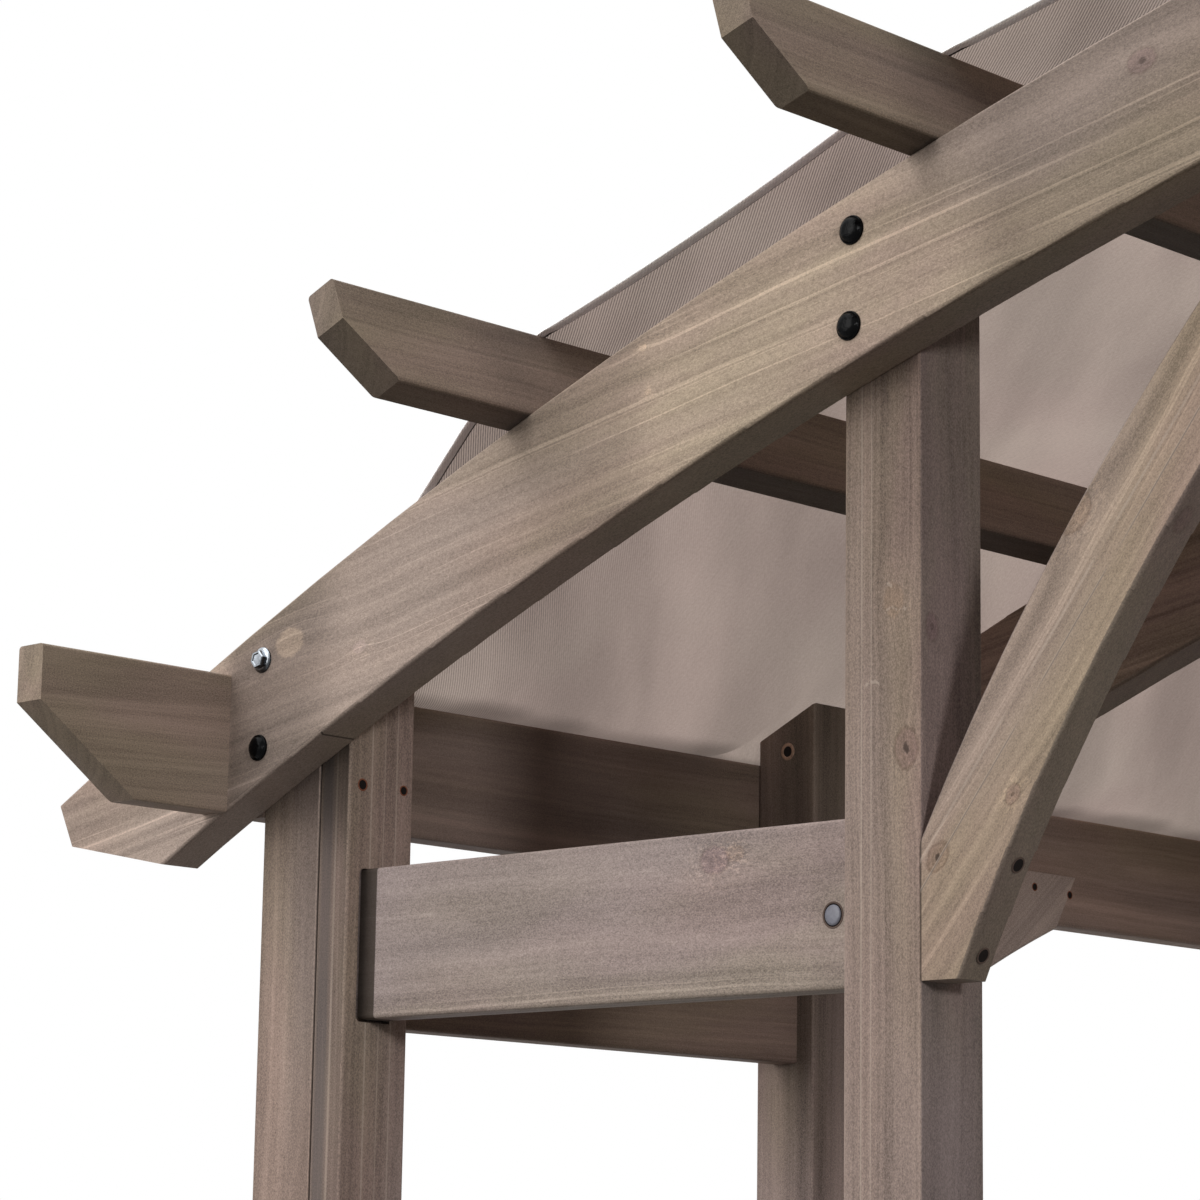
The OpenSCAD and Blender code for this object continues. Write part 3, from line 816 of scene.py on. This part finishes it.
for end, sy in ENDS:
    out = (0, sy, 0)
    back = (0, -sy, 0)
    for side, sx in SIDES:
        tag = f"_{end}_{side}"
        inwards = (-sx, 0, 0)
        heads = [((sx * x, sy * ARCH_Y, z), out) for x, z in BOLTS]
        tails = [((sx * x, sy * BACK_Y, z), back) for x, z in BOLTS]
        fasteners("zinc_bolt" + tag, flanged_head, heads[:1], ZINC)
        fasteners("black_bolts" + tag, button, heads[1:], BLACK)
        fasteners("nuts" + tag, nut, tails, ZINC)
        holes("stile_holes" + tag, [
            ((sx * STILE_X, sy * 1.782, 2.067), inwards, 0.0056),
            ((sx * STILE_X, sy * 1.724, 2.067), inwards, 0.0047)], BARE, rim_share=1.2)
        holes("brace_screws" + tag, [
            ((sx * 1.856, sy * BRACE_Y, 1.9215), (-sx * 0.879, 0, -0.477), 0.0068),
            ((sx * 1.8952, sy * BRACE_Y, 1.8445), (-sx * 0.897, 0, -0.441), 0.0068)], WORN)
        holes("side_brace_screws" + tag, [
            ((sx * SIDE_BRACE_X, sy * 0.519, 2.082), inwards, 0.0048),
            ((sx * SIDE_BRACE_X, sy * 0.444, 2.078), inwards, 0.0048)], BARE)
        plug("rail_plug" + tag, (sx * 2.074, sy * RAIL_Y, 1.892), out)
        holes("side_post_hole" + tag, [((sx * 2.803, sy * SIDE_Y, 2.201), out, 0.0072)], SPLINTER,
              rim_share=1.5)


# ---- canopy

SPAN_X = -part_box("post_front_left_corner")[0][0]
BEAM_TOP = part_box("eave_beam_left")[1][2]
ARCH_R = 6.794           # radius of the arches' top edge
ARCH_SEAT = 2.216        # its height over a corner post's outer face
ARCH_Z = ARCH_SEAT - math.sqrt(ARCH_R ** 2 - SPAN_X ** 2)
PURLIN_H, PURLIN_T = 0.103, 0.038
PURLIN_TOP = ARCH_R + PURLIN_H
RIDGE_DEGREES = 2.488    # from the apex to the first purlin
PITCH_DEGREES = 4.600    # and from one to the next
PURLIN_ANGLES = [math.radians(RIDGE_DEGREES + PITCH_DEGREES * n) for n in range(5)]
HALF_TOP = PURLIN_T / 2 / PURLIN_TOP        # half of the angle of a purlin's top
SKIRT_ANGLE = PURLIN_ANGLES[-1] + HALF_TOP  # the skirt starts past the lowest purlin
END_DEGREES = 24.97      # and ends here
END_ANGLE = math.radians(END_DEGREES)
CLOTH_Y = 1.798          # depth of the cut edge
CLEAR = 0.0012           # height of the cloth over the timber that it lies on
EDGE_OUT = 0.007         # the cut edge lies this far out at the purlins
EDGE_PULL = 0.013        # and is pulled in this far between them
EDGE_REACH = 0.30        # how far in from the edge it is pulled
EDGE_TAUT = 0.12         # and how far in it sags less
SAG = 0.012              # of the cloth between two purlins
CREASE = 0.006           # height of the skirt's creases
SHOULDER_X = 2.640       # between the posts the skirt comes down from here
BEAM_X = SPAN_X + 0.002  # to here, on the beam
BAY_MARGIN = 0.013       # it starts to come down this far from a post or arch
BAY_EASE = 0.075         # and needs this length for it
STRIP_X = 2.8545         # its last strip comes down past here
STRIP_RUN = 0.012        # over this length
STRIP_Y = 1.3            # up to this depth
STEP = 0.016             # of the cloth's grid, along its line
ROW = 0.022              # and from row to row

# The skirt bends down to the arches and lies on them: (degrees from the apex, height over the arch)
SKIRT = ((21.25, 0.093), (21.78, 0.070), (22.60, 0.028), (23.35, 0.006), (23.9, 0.002), (24.5, 0.0015),
         (END_DEGREES, CLEAR))


def polar(radius, angle):
    return Vector((radius * math.sin(angle), 0, ARCH_Z + radius * math.cos(angle)))


def half_profile():
    """The cloth's line on one side, from the ridge to the eave: over the purlins, and the skirt."""
    over = [polar(PURLIN_TOP + CLEAR, angle + edge * HALF_TOP) for angle in PURLIN_ANGLES
            for edge in (-1, 1)]
    return over + [polar(ARCH_R + lift, math.radians(degrees)) for degrees, lift in SKIRT]


def resample(points, step):
    """Points a step apart along a line, and its length."""
    lengths = [0.0]
    for a, b in zip(points, points[1:]):
        lengths.append(lengths[-1] + (b - a).length)
    count = max(2, round(lengths[-1] / step))
    made = []
    n = 0
    for k in range(count + 1):
        want = lengths[-1] * k / count
        while n < len(points) - 2 and lengths[n + 1] < want:
            n += 1
        share = (want - lengths[n]) / (lengths[n + 1] - lengths[n])
        made.append(points[n].lerp(points[n + 1], min(1, max(0, share))))
    return made, lengths[-1]


half = half_profile()
line = [Vector((-p.x, 0, p.z)) for p in reversed(half)] + half
profile, cloth_length = resample(line, STEP)


def eased(share):
    share = min(1.0, max(0.0, share))
    return share * share * (3 - 2 * share)


def bay_share(y):
    """0 where posts and inner arches hold the skirt up, and 1 between them."""
    y = abs(y)
    for low, high in ((-INNER_ARCH_Y, INNER_ARCH_Y), (SIDE_Y, BACK_Y)):
        inside = min(y - low, high - y) - BAY_MARGIN
        if inside > 0:
            return eased(inside / BAY_EASE)
    return 0.0


def sagging_point(p, y, angle, outward, taut, near):
    """Between two purlins the cloth sags, and its cut edge is pulled in."""
    offset = 0.0
    spots = [-a for a in reversed(PURLIN_ANGLES)] + PURLIN_ANGLES
    signed = angle if p.x > 0 else -angle
    for a, b in zip(spots, spots[1:]):
        low, high = a + HALF_TOP, b - HALF_TOP
        if low < signed < high:
            share = (signed - low) / (high - low)
            wave = noise.noise(Vector((p.x * 2.1, y * 1.3, 4.0)))
            fine = noise.noise(Vector((p.x * 7.0 + y * 2.0, y * 3.0, 9.0)))
            arc = 4 * share * (1 - share)
            offset -= arc * taut * (SAG + 0.010 * wave + 0.005 * fine)
            y -= math.copysign(EDGE_PULL * near * arc, y)
    return Vector((p.x, y, p.z)) + outward * offset


def skirt_point(p, y, angle, outward):
    """Between the posts the skirt creases, and comes down from the arches to the top of the eave beam."""
    bay = bay_share(y)
    share = min(1.0, (angle - SKIRT_ANGLE) / (END_ANGLE - SKIRT_ANGLE))
    crease = noise.noise(Vector((p.x * 3.0 + y * 4.0, y * 9.0, 6.0)))
    q = Vector((p.x, y, p.z)) + outward * (CREASE * crease * bay * share * (1 - share) * 4)
    down = eased((abs(p.x) - SHOULDER_X) / (BEAM_X - SHOULDER_X)) ** 1.3
    wave = noise.noise(Vector((p.x, y * 6.0, 2.0)))
    rest = BEAM_TOP + CLEAR + max(0.0, wave) * 0.003
    lowered = q.z + (rest - q.z) * down if q.z > rest else rest
    q.z += (lowered - q.z) * bay
    if abs(y) < STRIP_Y:
        # The strip comes down outside a side post too, which lifts the rest
        over = eased((abs(q.x) - STRIP_X) / STRIP_RUN)
        q.z += (min(q.z, BEAM_TOP + CLEAR) - q.z) * over
    return q


def cloth_point(p, y):
    """Where the cloth's point over profile point p lies at depth y."""
    angle = math.atan2(abs(p.x), p.z - ARCH_Z)
    outward = (Vector((p.x, 0, p.z)) - Vector((0, 0, ARCH_Z))).normalized()
    inset = CLOTH_Y - abs(y)
    near = eased(1 - inset / EDGE_REACH)
    y += math.copysign(EDGE_OUT * near, y)
    if angle < SKIRT_ANGLE:
        return sagging_point(p, y, angle, outward, min(1.0, inset / EDGE_TAUT), near)
    return skirt_point(p, y, angle, outward)


def grid(name, rows, materials, slots=None):
    """A sheet through rows of points; slots gives the material of each strip between two rows."""
    mesh = bmesh.new()
    verts = [[mesh.verts.new(p) for p in row] for row in rows]
    for k, (a, b) in enumerate(zip(verts, verts[1:])):
        for n in range(len(a) - 1):
            face = mesh.faces.new((a[n], a[n + 1], b[n + 1], b[n]))
            face.smooth = True
            face.material_index = slots[k] if slots else 0
    made = shown(name, mesh, materials)
    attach(made, "root")
    return made


THREADS = 2 * math.pi / 0.0022     # angle for each metre that makes threads 2.2 mm apart
RIBS = 2 * math.pi / 0.0033        # and ribs 3.3 mm apart, which show by the hems


def painted_sheet_shading(t, place, soft, wrinkle, light):
    """How light the sheet is, and its glow from behind: painted light and shade of blotches and folds, and
    painted shade darker to the edges.
    """
    x, y, z = t.split(place)
    fall = t.times(t.range(t.math("ABSOLUTE", x), 2.30, 2.72, 1.0, 0.90),
                   t.range(t.math("ABSOLUTE", y), 1.35, 1.75, 1.0, 0.75))
    soft = t.range(soft, 0.32, 0.68)
    wrinkle = t.range(wrinkle, 0.34, 0.66)
    lit = t.times(t.sway(wrinkle, 0.07, t.sway(soft, 0.05, light)), fall)
    glow = t.times(t.sway(wrinkle, 0.36, t.sway(soft, 0.17, light)), fall)
    # Painted shade: less light comes through where the cloth nears the eave beam
    ripple = t.noise(t.join(0.0, t.times(y, 5.0), 0.0), detail=2, seed=6.0)
    lift = t.math("SUBTRACT", z, t.add(ripple, 0.026, BEAM_TOP - 0.012))
    return lit, t.times(glow, t.range(lift, -0.002, 0.010, 0.50, 1.0))


def cloth(name, colour, through, share, weave=1.0, sheet=False):
    """A woven cloth that a share of the light comes through. The sheet has ribs by its hems, and painted
    light and shade.
    """
    made, t, shader = material(name, 0.85, 0.15)
    place = t.node("TexCoord").outputs["Object"]
    x, y, z = t.split(place)
    along = t.times(t.math("ARCTAN2", x, t.math("SUBTRACT", z, ARCH_Z)), PURLIN_TOP)
    warp = t.math("SINE", t.times(along, THREADS))
    weft = t.math("SINE", t.times(y, THREADS))
    knit = t.times(warp, weft)
    turns = t.times(t.add(along, 0.7, y), RIBS)
    ribs = t.math("SINE", t.add(knit, 0.25, turns))
    ribbed = 0.05
    if sheet:
        hem_near = t.range(t.math("ABSOLUTE", y), 1.35, 1.72)
        ribbed = t.add(hem_near, 0.40, 0.02)
    ribs = t.times(ribs, ribbed)

    def flecks(each_along, each_y, detail, seed):
        where = t.join(t.times(along, each_along), t.times(y, each_y), 0.0)
        return t.noise(where, detail=detail, seed=seed)

    soft = t.noise(place, scale=2.3, detail=3, roughness=0.55, seed=4.0)
    drawn = t.join(t.add(y, -1.0, t.times(along, 1.3)),
                   t.add(y, 5.4, t.times(along, 4.0)), 0.0)
    wrinkle = t.noise(drawn, detail=3, roughness=0.5, seed=8.0)
    light = t.math("ADD", t.add(knit, 0.05 * weave, 1.0), ribs)
    light = t.sway(flecks(300.0, 300.0, 1, 3.0), 0.35, light)
    light = t.sway(flecks(30.0, 400.0, 2, 2.0), 0.20, light)
    glow = light
    if sheet:
        light, glow = painted_sheet_shading(t, place, soft, wrinkle, light)
    tint = t.mix(t.range(soft, 0.40, 0.60), (1.012, 0.992, 0.995, 1), (0.992, 1.005, 0.992, 1))
    height = t.add(knit, 0.10, t.times(wrinkle, 6.0))
    bump = t.bump(height, 0.5, 0.002)
    t.put(shader.inputs["Base Color"], t.tinted(colour, t.tinted(t.grey(light), tint)))
    t.put(shader.inputs["Normal"], bump)
    behind = t.node("BsdfTranslucent")
    t.put(behind.inputs["Color"], t.tinted(through, t.tinted(t.grey(glow), tint)))
    t.put(behind.inputs["Normal"], bump)
    both = t.node("MixShader")
    both.inputs[0].default_value = share
    t.put(both.inputs[1], shader.outputs[0])
    t.put(both.inputs[2], behind.outputs[0])
    t.put(made.node_tree.nodes["Material Output"].inputs["Surface"], both.outputs[0])
    return made


CLOTH = cloth("canopy_weave", linear(176, 163, 153), linear(171, 155, 147), 0.42, sheet=True)
FRINGE = cloth("hem_fringe", linear(240, 239, 238), linear(240, 240, 240), 0.7)
BAND = cloth("hem_band", linear(236, 233, 235), linear(216, 213, 216), 0.45, weave=1.4)
# A thin dark line along the hem's inner edge
HEM_DARK_LINE = cloth("hem_dark_line", linear(88, 82, 80), linear(72, 67, 66), 0.3)

row_count = round(2 * CLOTH_Y / ROW)
depths = [-CLOTH_Y + 2 * CLOTH_Y * n / row_count for n in range(row_count + 1)]
canopy = grid("canopy_cloth", [[cloth_point(p, y) for p in profile] for y in depths], [CLOTH])

# The hem is folded under: (distance in from the edge, drop under the cloth, material), in millimetres
HEM = ((-1.8, 0.2, 0), (0.9, 0.9, 0), (2.6, 1.6, 1), (4.2, 2.8, 1), (7.0, 3.0, 1), (9.6, 2.6, 2),
       (11.4, 1.5, 2), (12.6, 0.7, 2))
HEM_FLAT = 0.25          # most drop in millimetres where timber presses the hem flat
PRESSED = 0.0026         # which it does this near a purlin's top, as an angle,
PRESSED_SKIRT = math.radians(23.2)   # and from here on, over the arches and posts


def hem_drop(p, drop):
    """How far a hem hangs under the cloth at a profile point, for a drop where it is free."""
    angle = math.atan2(abs(p.x), p.z - ARCH_Z)
    past = min(abs(angle - a) for a in PURLIN_ANGLES) - HALF_TOP
    return min(drop, HEM_FLAT) if past < PRESSED or angle > PRESSED_SKIRT else drop


for end, sy in ENDS:
    rows = []
    for inset, drop, _ in HEM:
        y = sy * (CLOTH_Y - inset * MM)
        rows.append([cloth_point(p, y) + Vector((0, 0, -hem_drop(p, drop) * MM)) for p in profile])
    slots = [slot for _, _, slot in HEM[:-1]]
    if sy > 0:
        rows, slots = rows[::-1], slots[::-1]
    hem = grid("canopy_hem_" + end, rows, [FRINGE, BAND, HEM_DARK_LINE], slots)

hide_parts("canopy")


# ---- camera, floor and light

# The photograph's camera, as fitted to the edges of the frame
EYE = (0.102366, -4.297606, 1.54075)
PAN = math.radians(44.52)
TILT = math.radians(90 + 10.911)
ROLL = math.radians(0.917)

camera = linked("camera", bpy.data.cameras.new("camera"))
camera.data.sensor_width = 36.0
camera.data.lens = 109.34
camera.data.clip_end = 200
camera.matrix_world = (Matrix.Translation(EYE) @ Matrix.Rotation(PAN, 4, "Z")
                       @ Matrix.Rotation(TILT, 4, "X") @ Matrix.Rotation(ROLL, 4, "Z"))
scene.camera = camera


def seen(t):
    """1 for the rays that show a thing, straight, mirrored or through, and 0 for those that light."""
    path = t.node("LightPath")
    mirrored = t.math("MAXIMUM", path.outputs["Is Camera Ray"], path.outputs["Is Glossy Ray"])
    return t.math("MAXIMUM", mirrored, path.outputs["Is Transmission Ray"])


floor_material, t, shader = material("floor", 0.9, 0.0)
t.put(shader.inputs["Base Color"], t.mix(seen(t), (0.13, 0.127, 0.122, 1), (0.90, 0.90, 0.90, 1)))
floor_mesh = bmesh.new()
bmesh.ops.create_circle(floor_mesh, cap_ends=True, radius=60, segments=96)
floor = shown("floor", floor_mesh, [floor_material])
floor.location.z = -0.0005

world = bpy.data.worlds.new("studio")
scene.world = world
world.use_nodes = True
t = Tree(world.node_tree)
background = world.node_tree.nodes["Background"]
white = seen(t)
t.put(background.inputs["Color"], t.mix(white, (0.95, 0.98, 1.0, 1), (1, 1, 1, 1)))
t.put(background.inputs["Strength"], t.add(white, 0.94, 0.06))


def sun(name, towards, level, angle, colour=(1, 1, 1)):
    """A soft lamp whose light comes from a direction, at a level where 1 shows a facing colour as it is."""
    data = bpy.data.lights.new(name, "SUN")
    data.energy = level * math.pi
    data.angle = math.radians(angle)
    data.color = colour
    linked(name, data).rotation_euler = Vector(towards).to_track_quat("Z", "Y").to_euler()


sun("key", (-0.33, -0.92, 0.22), 0.50, 40, (1.0, 0.985, 0.97))
sun("high", (-0.15, -0.50, 0.85), 0.50, 60)
sun("right", (0.88, -0.385, 0.16), 0.27, 7)
sun("fill", (0.70, -0.70, 0.12), 0.12, 100)
sun("top", (-0.45, 0.50, 0.74), 0.30, 25)
sun("rear", (-0.35, 0.90, 0.25), 0.30, 25)

scene.view_settings.view_transform = "Standard"

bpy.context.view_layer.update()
